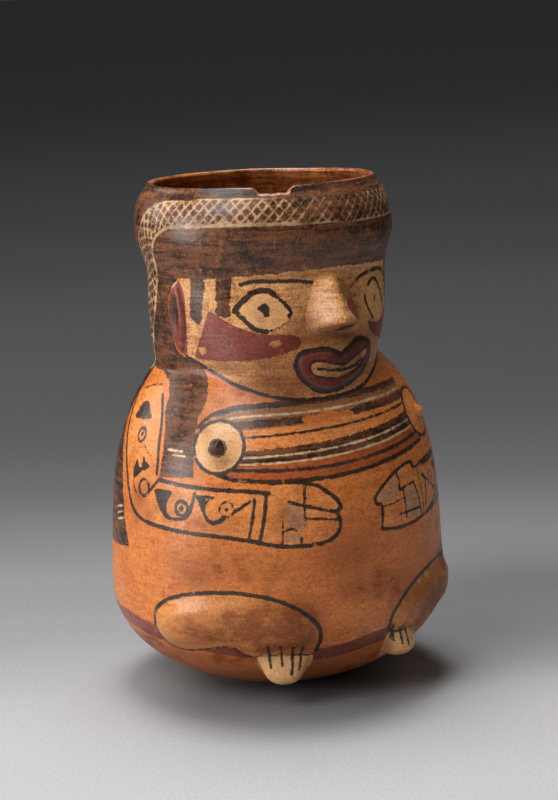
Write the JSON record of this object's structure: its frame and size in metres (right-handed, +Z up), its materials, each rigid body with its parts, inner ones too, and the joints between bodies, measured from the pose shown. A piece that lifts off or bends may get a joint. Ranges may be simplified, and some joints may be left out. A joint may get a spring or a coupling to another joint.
{
  "type": "figural beaker",
  "caption": "Hand-built pottery beaker in the form of a seated figure: round body, modelled face, rolled headcloth and an open rim, standing on a small flat.",
  "frame": {"origin": "centre of the standing flat, on the floor plane", "axes": "+Z up the cup's axis to the rim; the figure faces -Y and its left hand is towards +X"},
  "size_m": [0.1198, 0.1198, 0.178],
  "materials": {
    "orange_slip": "burnished orange slip",
    "tan_slip": "burnished tan slip",
    "dark_slip": "burnished dark brown slip",
    "plum_slip": "burnished plum-red slip",
    "cream_slip": "burnished cream slip"
  },
  "bodies": {
    "root": {"base_bowl": "orange_slip", "belly_wall": "orange_slip", "shoulder_wall": "orange_slip", "face_wall": "tan_slip", "headcloth_wall": "dark_slip", "nose": "tan_slip", "right_ear": "plum_slip", "left_ear": "plum_slip", "right_nipple": "dark_slip", "left_nipple": "dark_slip", "right_foot": "cream_slip", "left_foot": "cream_slip"}
  },
  "joints": []
}
